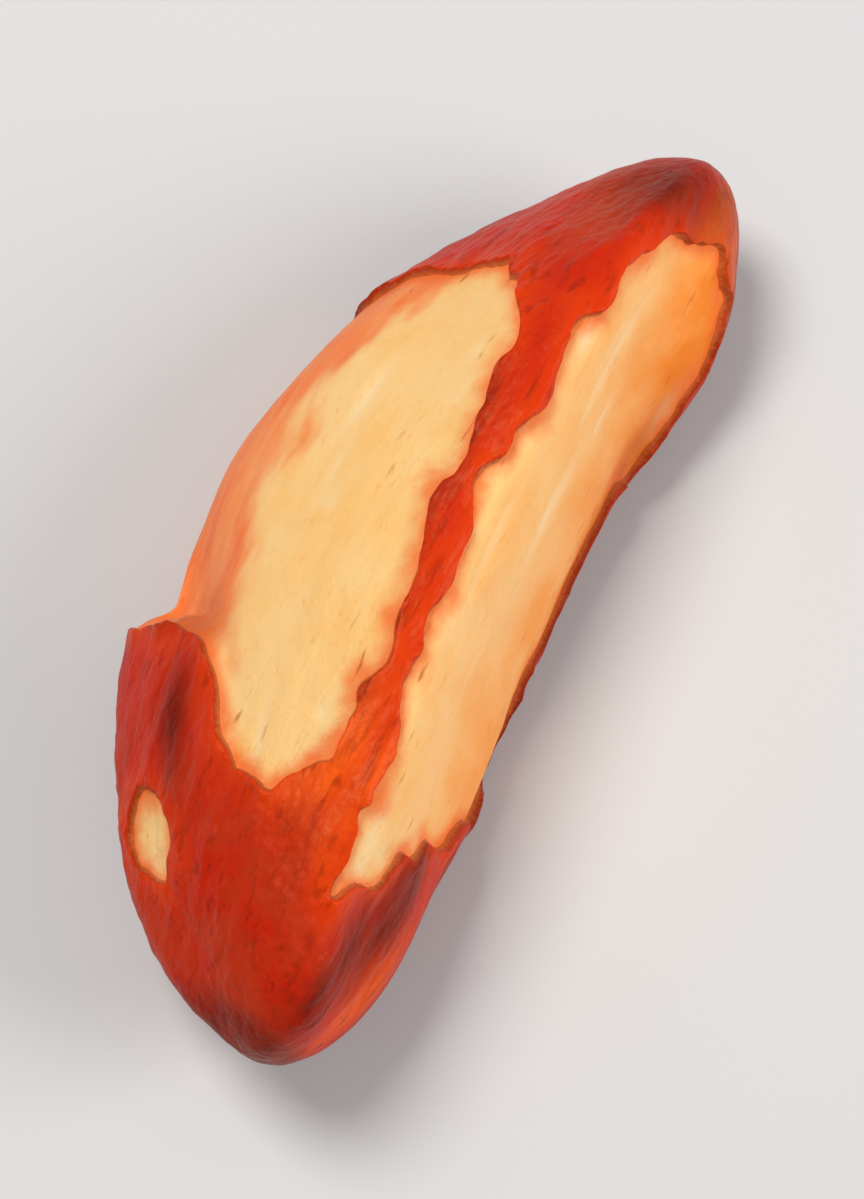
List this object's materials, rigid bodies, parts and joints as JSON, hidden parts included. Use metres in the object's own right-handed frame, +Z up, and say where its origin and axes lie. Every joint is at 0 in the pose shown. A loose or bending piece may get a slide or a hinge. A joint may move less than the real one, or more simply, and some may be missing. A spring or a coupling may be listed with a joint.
{
  "type": "shelled brazil nut kernel",
  "caption": "Shelled Brazil nut kernel shaped like an orange segment, with brown seed coat left on its ridges and ends, lying on one flat side.",
  "frame": {"origin": "on the resting plane, under the middle of the kernel's bounding box", "axes": "+X from the blunt end to the narrow end, +Y towards the low back ridge, +Z up"},
  "size_m": [0.0408, 0.016, 0.013],
  "materials": {
    "kernel": "waxy ivory flesh with satin red-brown seed coat left in patches"
  },
  "bodies": {
    "root": {"kernel": "kernel"}
  },
  "joints": []
}
